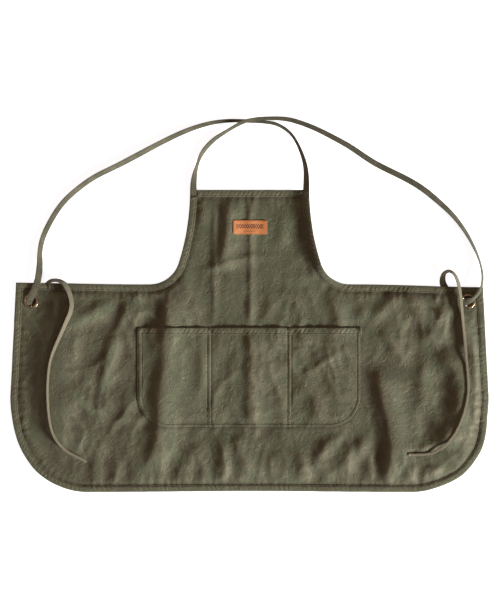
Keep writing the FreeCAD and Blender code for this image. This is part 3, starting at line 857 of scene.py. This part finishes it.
def pocketRise(x, y):
    # height of the pocket cloth above the body: low at its seams, full inside, open at the mouth
    gap = pocketEdgeGap(x, y)
    divider = np.abs(np.abs(x) - pocketShape["dividers"])
    inside = smooth((gap - 8 * mm) / (26 * mm)) * smooth((divider - 4 * mm) / (24 * mm))
    mouth = smooth((y - pocketHigh[1] + 70 * mm) / (70 * mm))
    rise = pocketShape["seam"] + inside * (pocketShape["belly"] - pocketShape["seam"]
                                           + mouth * pocketShape["gape"])
    inseam = smooth((8.5 * mm - np.abs(gap - 6 * mm)) / (4 * mm))
    rise = rise + 0.5 * mm * inseam
    for row in pocketShape["rows"]:
        rise = rise - pocketShape["rowDip"] * bell(gap - row, 0.9 * mm)
    rise = rise - pocketShape["rowDip"] * bell(divider - pocketShape["dividerRows"], 0.9 * mm)
    rise = rise + 0.35 * mm * bell(divider, 2.5 * mm)
    own = creased(x * 1.1, y * 0.8, 0.05, 31) * 0.5 + creased(x, y, 0.022, 32) * 0.28
    return rise + own * mm * inside + 0.25 * mm


smoothHeights = blurred(heights, 4)


def pocketTop(x, y):
    # the higher of the smoothed cloth and the cloth itself, plus the pocket's own rise
    return np.maximum(sample(smoothHeights, x, y), clothTop(x, y)) + pocketRise(x, y)


def spread(stops, step):
    # the stops themselves, and even steps between them
    parts = [np.linspace(a, b, max(int(np.ceil((b - a) / step)), 1), endpoint=False)
             for a, b in zip(stops, stops[1:])]
    return np.concatenate(parts + [stops[-1:]])


def makePocket():
    # a grid fitted to the pocket's outline, at its top's height; the rim rounds over
    half = pocketHigh[0]
    edge = np.array([0, 0.35, 1.0, 2.0, 3.0, 4.4, 7.5, 9.6, 10.5, 11.4, 13.5]) * mm
    near = np.array([-7, -5.4, -4.5, -3.6, -1.6, 0, 1.6, 3.6, 4.5, 5.4, 7]) * mm
    stops = np.concatenate([[0], pocketShape["dividers"] + near, half - edge])
    right = np.unique(np.round(stops, 7))
    columns = spread(right, 3.6 * mm)
    columns = np.concatenate([-columns[:0:-1], columns]) / half
    low, high = pocketLow[1], pocketHigh[1]
    curve = low + pocketRound * (1 - np.sin(np.linspace(pi / 2, 0, 64)))
    upper = spread(np.concatenate([[low + pocketRound + 1e-4], (high - edge)[::-1]]), 3.6 * mm)
    rows = np.unique(np.concatenate([curve, upper]))
    y = np.repeat(rows[:, None], len(columns), 1)
    x = columns[None] * pocketHalfWidth(rows)[:, None]
    gap = pocketEdgeGap(x, y)
    z = pocketTop(x, y)
    fold = roundOver(np.minimum(gap, high - y), 1.0 * mm)
    top = np.stack([x, y, z - (1 - fold) * 0.7 * mm], -1).reshape(-1, 3)
    seamDown = smooth((8 * mm - gap) / (4 * mm)) * 0.5 * mm
    bottom = np.stack([x, y, z - pocketShape["thickness"] - seamDown + (1 - fold) * 0.2 * mm], -1)
    faces = gridFaces(len(rows), len(columns))
    points, faces = closedSheet(top, bottom.reshape(-1, 3), faces)
    seam = bell(np.abs(np.abs(x) - pocketShape["dividers"]) - pocketShape["dividerRows"], 1.1 * mm)
    for row in pocketShape["rows"]:
        seam = np.maximum(seam, bell(gap - row, 1.1 * mm))
    # darker round the pocket's edge and along its stitch rows: painted shade; the body's fading and
    # painted light carry over
    crest = fadeAndPaintedLightAt(x, y) * 0.7 + 0.17 * smooth(gap / (12 * mm)) + 0.1 - 0.6 * seam
    crest = np.tile(clamped(crest).ravel(), 2)
    return makePiece("pocketCloth", points, faces, canvas, crest=crest)


print("pocket")
pocket = makePocket()
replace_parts(pocket, "pocket_panel")


def mouthFace(x, y):
    return pocketTop(x, y) - 0.15 * mm


mouthLine = resample(levelLine(pocketHigh[0] - 0.3 * mm, pocketHigh[1] + 0.6 * mm), stepAlong)
mouthHem = makeBinding("pocketMouthHem", mouthLine, -1, mouthFace, flat=True)
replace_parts(mouthHem, "pocket_mouth_hem")


def pocketRow(gap):
    # a row that follows the sides and the rounded bottom, below the hem
    radius = pocketRound - gap
    x, low, high = pocketHigh[0] - gap, pocketLow[1] + gap, pocketHigh[1] - 16 * mm
    right = arcPoints((x - radius, low + radius), radius, 0, -pi / 2)
    half = np.concatenate([[[x, high]], right])
    return np.concatenate([half, (half * [-1, 1])[::-1]])


def rowFace(x, y):
    return pocketTop(x, y) - 0.1 * mm


for name, gap in zip(("Outer", "Inner"), pocketShape["rows"]):
    makeStitches(f"pocket{name}Stitches", [pocketRow(gap)], rowFace, darkThread,
                 [f"pocket_{name.lower()}_stitching"])
for name, turn in (("left", -1), ("right", 1)):
    rows = [np.array([[turn * pocketShape["dividers"] + shift, pocketLow[1] + 12 * mm],
                      [turn * pocketShape["dividers"] + shift, pocketHigh[1] - 2 * mm]])
            for shift in (-pocketShape["dividerRows"], pocketShape["dividerRows"])]
    makeStitches(f"{name}DividerStitches", rows, lambda x, y: rowFace(x, y) + 0.35 * mm, darkThread,
                 [f"divider_{name}_stitching"])
makeStitches("pocketMouthStitches", [levelLine(pocketHigh[0] - 1 * mm, pocketHigh[1] - 12.9 * mm)],
             lambda x, y: mouthFace(x, y) + 0.38 * mm, darkThread, ["pocket_mouth_stitching"])


def makeTacks():
    # triangles filled with close rows of thread
    size, rows = 9 * mm, []
    inner = pocketShape["dividerRows"]
    places = [(-pocketHigh[0] + 2 * mm, 1), (-pocketShape["dividers"] + inner, -1),
              (pocketShape["dividers"] - inner, 1), (pocketHigh[0] - 2 * mm, -1)]
    for x, lean in places:
        for k in range(7):
            y = pocketHigh[1] - 2 * mm - k * size / 7
            end = x + lean * (size - k * size / 7.5)
            rows.append(np.array([[min(x, end), y], [max(x, end), y]]))
    makeStitches("pocketBarTacks", rows, lambda x, y: mouthFace(x, y) + 1.2 * mm, darkThread,
                 ["pocket_bar_tacks"], pitch=2.2 * mm)


makeTacks()


labelShape = {
    "lift": 2.2 * mm,  # top face above the smoothed cloth
    "thickness": 1.9 * mm,
    "squareness": 14,  # of its rounded corners
    "edge": 1.3 * mm,  # how far the rim rounds over
}


def leatherTop(x, y):
    return sample(blurred(heights, 30), x, y) + labelShape["lift"]


def makeLabel():
    # a rounded plate on a grid: each ring of the grid is drawn in as it goes over the edge
    half = (labelHigh[:2] - labelLow[:2]) / 2
    middle = (labelHigh[:2] + labelLow[:2]) / 2 + [1.2 * mm, 0]
    u, v = np.meshgrid(np.linspace(-1, 1, 61), np.linspace(-1, 1, 29))
    u, v = np.sign(u) * np.abs(u) ** 0.8, np.sign(v) * np.abs(v) ** 0.8
    squareness = labelShape["squareness"]
    reach = (np.abs(u) ** squareness + np.abs(v) ** squareness) ** (1 / squareness)
    big = np.maximum(np.abs(u), np.abs(v))
    pull = np.where(reach > 1e-6, big / np.maximum(reach, 1e-6), 1)
    x, y = middle[0] + u * pull * half[0], middle[1] + v * pull * half[1]
    rim = np.minimum((1 - np.abs(u)) * half[0], (1 - np.abs(v)) * half[1])
    edge = roundOver(rim, labelShape["edge"])
    ground = leatherTop(x, y)
    pressed = bell(rim - 2 * mm, 0.8 * mm) * 0.3 * mm
    top = np.stack([x, y, ground - (1 - edge) * 0.9 * mm - pressed], -1).reshape(-1, 3)
    bottom = np.stack([x, y, ground - labelShape["thickness"] + (1 - edge) * 0.2 * mm], -1)
    points, faces = closedSheet(top, bottom.reshape(-1, 3), gridFaces(*u.shape))
    return makePiece("leatherPatch", points, faces, leather), middle, half


print("label")
label, labelMiddle, labelHalf = makeLabel()
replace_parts(label, "label_patch")
inX, inY = labelHalf - 2 * mm
corners = np.array([[-1, -1], [1, -1], [1, 1], [-1, 1], [-1, -1]])
frameCorners = labelMiddle + corners * [inX, inY]
makeStitches("labelStitches", [frameCorners[k:k + 2] for k in range(4)],
             lambda x, y: leatherTop(x, y) - 0.3 * mm, labelThread, ["label_stitching"],
             pitch=2.6 * mm, radius=0.33 * mm)


eyeletShape = {"outer": 17 * mm, "hole": 12 * mm, "roll": 1.7 * mm, "bottom": 3.5 * mm}


def makeEyelet(name, place):
    # a rolled flange and a barrel, turned about the eyelet's axis from one closed profile
    outer, hole, low = eyeletShape["outer"], eyeletShape["hole"], eyeletShape["bottom"]
    top = clothRest["aroundEyelet"]
    roll = np.linspace(0, pi, 15)
    ringR = (outer + hole) / 2 + (outer - hole) / 2 * np.cos(roll)
    ringZ = top + 0.1 * mm + eyeletShape["roll"] * np.sin(roll) ** 0.8
    r = np.concatenate([ringR, hole + np.array([0, 0.15, 0.9, 0.9, 1.5]) * mm])
    z = np.concatenate([ringZ, [low + 0.4 * mm, low, low, top - 0.4 * mm, top - 0.2 * mm]])
    angle = np.linspace(0, 2 * pi, 96, endpoint=False)
    points = np.stack([place[0] + r[None] * np.cos(angle)[:, None],
                       place[1] + r[None] * np.sin(angle)[:, None],
                       np.repeat(z[None], len(angle), 0)], -1)
    faces = gridFaces(len(angle) + 1, len(r), wrap=True) % (len(angle) * len(r))
    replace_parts(makePiece(f"{name}Eyelet", points, faces, brass),
                f"eyelet_{name}")


print("eyelets")
for name, place in eyelets.items():
    makeEyelet(name, place)
    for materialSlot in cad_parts[f"eyelet_washer_{name}"].material_slots:
        materialSlot.material = brass

tapeShape = {"width": 16 * mm, "thickness": 1.5 * mm}

# Points of each route in millimetres, and how far the tape leans there, in degrees.
rightRoute = [
    (129, 330, 19, 17), (130.5, 362, 15, 24), (129, 402, 8, 42), (119, 434, 6.2, 42),
    (107, 460, 6, 42), (92, 481, 5, 36), (66, 498, 3, 15), (38, 504, 1.2, 0), (-10, 506, 1.2, 0),
    (-61, 507, 1.4, 0), (-112, 496, 3.5, 20), (-160, 477.5, 5.2, 34), (-215, 450, 5.6, 38),
    (-262, 424.5, 5.6, 38), (-309, 400, 5.8, 40), (-358, 377, 5.6, 38), (-399, 347, 5, 34),
    (-431, 317, 4.6, 28), (-455, 281, 3.8, 22), (-475, 240, 4.4, 25), (-482, 207, 7.2, 48),
    (-481, 168, 10, 18), (-488, 127, 10.8, 4), (-502.5, 99.5, 10.4, 4), (-509.5, 85, 4, 4),
    (-511, 66, 2.2, 0), (-503, 48, 1.2, 0), (-485, 43, 1.1, 0), (-473.5, 54, 1.1, 0),
    (-487, 72, 1.1, 0), (-498, 90, 1.1, 0), (-489.5, 108, 1.1, 0), (-468, 118, 2.2, 8),
    (-464, 132, 6.8, 45), (-453, 140, 13, 62), (-435, 139.5, 18.5, 60), (-421, 130, 20, 52),
    (-411, 108, 19, 50), (-406, 86, 21.3, 50), (-409, 66, 25, 48), (-420, 42, 25.2, 45),
    (-434, 10, 24.3, 40), (-447, -18, 24.1, 38), (-456.5, -46, 24, 36), (-461, -80, 23.8, 35),
    (-462.5, -118, 24, 35), (-460, -166, 23.9, 35), (-453.5, -205, 23.4, 35),
    (-440.5, -231, 22, 30), (-421, -251, 17.6, 20), (-402, -262, 14.3, 10), (-383, -271, 11.4, 8),
    (-372, -279, 9.4, 8),
]
leftRoute = [
    (-129, 330, 5.7, 0), (-130, 366, 6.8, -12), (-120, 408, 6.8, -48), (-108, 436, 6.2, -42),
    (-83, 463, 6.2, -38), (-53, 482, 7.5, -32), (-22, 500, 8.5, -25), (2, 508.5, 8, -15),
    (38, 512, 7.2, -4), (86, 510.5, 6.4, 12), (119, 501, 5, 28), (155, 487, 5, 32),
    (192, 468, 5, 32), (229, 448, 4.8, 30), (258, 428, 4.6, 28), (288, 408, 4.4, 26),
    (322, 391, 4.4, 26), (361, 372.5, 4.4, 26), (398, 350.5, 4.4, 26), (434, 321, 4.6, 28),
    (467, 290, 5.4, 36), (496, 252, 6.6, 46), (518, 211, 8.2, 58), (531, 175, 10.5, 66),
    (535, 143, 14, 60), (529, 113, 15.5, 60), (515, 98, 14, 58), (507.5, 93.5, 10.8, 38),
    (494.5, 89, 4.6, 6), (478, 83, 3, 0), (462.5, 78, 1.6, 0), (455, 63, 1.1, 0), (467, 51, 1.1, 0),
    (489, 52, 1.1, 0), (505, 66, 1, 0), (509.8, 87, 1, 0), (502.5, 103, 1, 0), (480, 108, 1, 0),
    (458, 113, 1.1, 0), (446, 126, 2.5, 10), (442.5, 141, 6.5, 40), (446, 156, 12.5, 60),
    (457, 162, 18.5, 62), (469, 154, 21.5, 62), (476, 138, 22.2, 58), (481, 119, 19.5, 55),
    (484, 98, 17, 52), (486.5, 72, 15.5, 46), (489.5, 38, 16.4, 35), (493, 6, 16.1, 22),
    (496.5, -41, 17.5, 15), (500.5, -88, 20.9, 14), (501, -120, 20.6, 14), (495, -150, 22.3, 14),
    (486.5, -177, 22.6, 14), (474, -207, 22.7, 14), (455, -233, 20.7, 12), (434, -250.5, 15.5, 10),
    (414, -258.5, 13.4, 8), (389, -261, 13.8, 8), (365, -260.5, 17.2, 8),
]


# How much of its width the tape shows, by number of the route point: where it is narrow, it is
# curled up lengthwise.
tapeShares = {
    "right": [(0, 1.0), (1, 0.95), (2, 0.8), (3, 0.6), (4, 0.48), (6, 0.5), (9, 0.52), (11, 0.8),
              (13, 0.95), (16, 0.85), (19, 0.8), (22, 1.0), (36, 1.0), (39, 0.85), (41, 0.6),
              (43, 0.42), (52, 0.40)],
    "left": [(0, 1.0), (1, 0.95), (2, 0.5), (3, 0.8), (4, 0.75), (5, 0.55), (8, 0.52), (10, 0.8),
             (12, 0.95), (18, 1.0), (21, 0.85), (24, 0.7), (27, 1.0), (44, 1.0), (46, 0.8),
             (48, 0.55), (50, 0.42), (60, 0.38)],
}


def routeSpline(name, route):
    # a smooth spline whose control points are the route's points
    curve = bpy.data.curves.new(name, "CURVE")
    curve.dimensions = "3D"
    spline = curve.splines.new("NURBS")
    spline.points.add(len(route) - 1)
    for point, place in zip(spline.points, route):
        point.co = (place[0] * mm, place[1] * mm, place[2] * mm, 1)
    spline.order_u = 3
    spline.use_endpoint_u = True
    spline.resolution_u = 10
    holder = bpy.data.objects.new(name, curve)
    mesh = bpy.data.meshes.new_from_object(holder)
    points = np.empty(len(mesh.vertices) * 3)
    mesh.vertices.foreach_get("co", points)
    bpy.data.objects.remove(holder)
    bpy.data.meshes.remove(mesh)
    return points.reshape(-1, 3)


def tapeProfile():
    # a flat strip with rounded edges, slightly cupped, as place across and place through
    halfWide, halfThick = tapeShape["width"] / 2, tapeShape["thickness"] / 2
    side = np.array([0.4, 0.7, 0.775, 0.85, 0.94, 0.985, 1])
    across = np.concatenate([-side[::-1], [0], side])
    full = np.sqrt(clamped(1 - (clamped(np.abs(across) - 0.9) / 0.1) ** 2))
    groove = 1 - 0.35 * bell(np.abs(across) - 0.775, 0.04)
    thick = halfThick * full * groove
    top = np.stack([across * halfWide, thick], 1)
    low = np.stack([across[1:-1][::-1] * halfWide, -thick[1:-1][::-1]], 1)
    return np.concatenate([top, low])


def makeTape(name, route, shares):
    # the profile carried along the spline, turned by the lean and narrowed to its share
    path = routeSpline(name + "Route", route)
    keys = np.arange(len(route)) - 0.5
    keys[0], keys[-1] = 0, len(route) - 2
    places = np.linspace(0, len(route) - 2, len(path))
    lean = np.interp(places, keys, [radians(p[3]) for p in route])
    share = np.interp(places, [s[0] - 0.5 for s in shares], [s[1] for s in shares])
    for _ in range(8):
        lean[1:-1] = (lean[:-2] + 2 * lean[1:-1] + lean[2:]) / 4
        share[1:-1] = (share[:-2] + 2 * share[1:-1] + share[2:]) / 4
    ahead = unitRows(np.gradient(path, axis=0))
    level = unitRows(np.cross(ahead, [0, 0, 1]))
    above = np.cross(level, ahead)
    wide = level * np.cos(lean)[:, None] + above * np.sin(lean)[:, None]
    face = above * np.cos(lean)[:, None] - level * np.sin(lean)[:, None]
    profile = tapeProfile()
    wobble = noiseAlong(pathLength(path), 0.05, 41) * 0.25 * mm
    points = (path[:, None] + (wide * share[:, None])[:, None] * profile[None, :, :1]
              + face[:, None] * (profile[None, :, 1:] + wobble[:, None, None]))
    count = len(profile)
    ring = np.arange(count)
    faces = gridFaces(len(path), count, wrap=True).tolist()
    faces += [ring.tolist(), (ring[::-1] + (len(path) - 1) * count).tolist()]
    along = np.repeat(pathLength(path)[:, None], count, 1)
    uv = np.stack([along, np.repeat(profile[None, :, 0], len(path), 0)], -1)
    return makePiece(name, points, faces, tapeCloth, uv=uv), path


print("straps")
for name, route, length in (("right", rightRoute, 1.67), ("left", leftRoute, 1.78)):
    strap, path = makeTape(f"{name}Strap", route, tapeShares[name])
    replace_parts(strap, f"strap_{name}")
    print(name, "strap", pathLength(path)[-1])

list(bindings.values()) + [label]


def makeFloor():
    make = Maker("pale floor")
    grain = make.noise(make.place(), 3.0, 2.0)
    tone = make.mix(grain, (0.90, 0.90, 0.90), (0.93, 0.93, 0.93))
    material = make.finish(Base_Color=tone, Roughness=0.9, Emission_Color=(0.95, 1.0, 1.05),
                           Emission_Strength=0.80)
    mesh = bpy.data.meshes.new("floor")
    reach = 6.0
    places = [(-reach, -reach, 0), (reach, -reach, 0), (reach, reach, 0), (-reach, reach, 0)]
    mesh.from_pydata(places, [], [(0, 1, 2, 3)])
    mesh.materials.append(material)
    placed("floor", mesh)


def makeSun(name, energy, spread, colour, rise, way):
    # a distant lamp that shines from a height and a direction, in degrees
    lamp = bpy.data.lights.new(name, "SUN")
    lamp.energy, lamp.angle, lamp.color = energy, radians(spread), colour
    placed(name, lamp).rotation_euler = (radians(90 - rise), 0, radians(way + 90))


def makeLights():
    # a low key from the lower right, and a weak warm fill from the upper left
    makeSun("key", 6.9, 13, (0.98, 1.0, 0.94), 20, -34)
    makeSun("fill", 0.6, 90, (1.0, 0.56, 0.36), 48, 140)
    world = bpy.data.worlds.new("studio")
    world.use_nodes = True
    sky = world.node_tree.nodes["Background"]
    sky.inputs["Color"].default_value = (1.0, 0.88, 0.78, 1)
    sky.inputs["Strength"].default_value = 0.12
    bpy.context.scene.world = world


def makeCamera():
    # straight down on the front of the cloth, from a long way off
    lens, tall = 100.0, 1.38
    camera = bpy.data.cameras.new("camera")
    camera.lens = lens
    camera.sensor_width = 36
    eye = placed("camera", camera)
    eye.location = (0.001, 0.0943, lens / 36 * tall)
    bpy.context.scene.camera = eye


makeFloor()
makeLights()
makeCamera()
bpy.context.scene.view_settings.view_transform = "Standard"

print("finished")
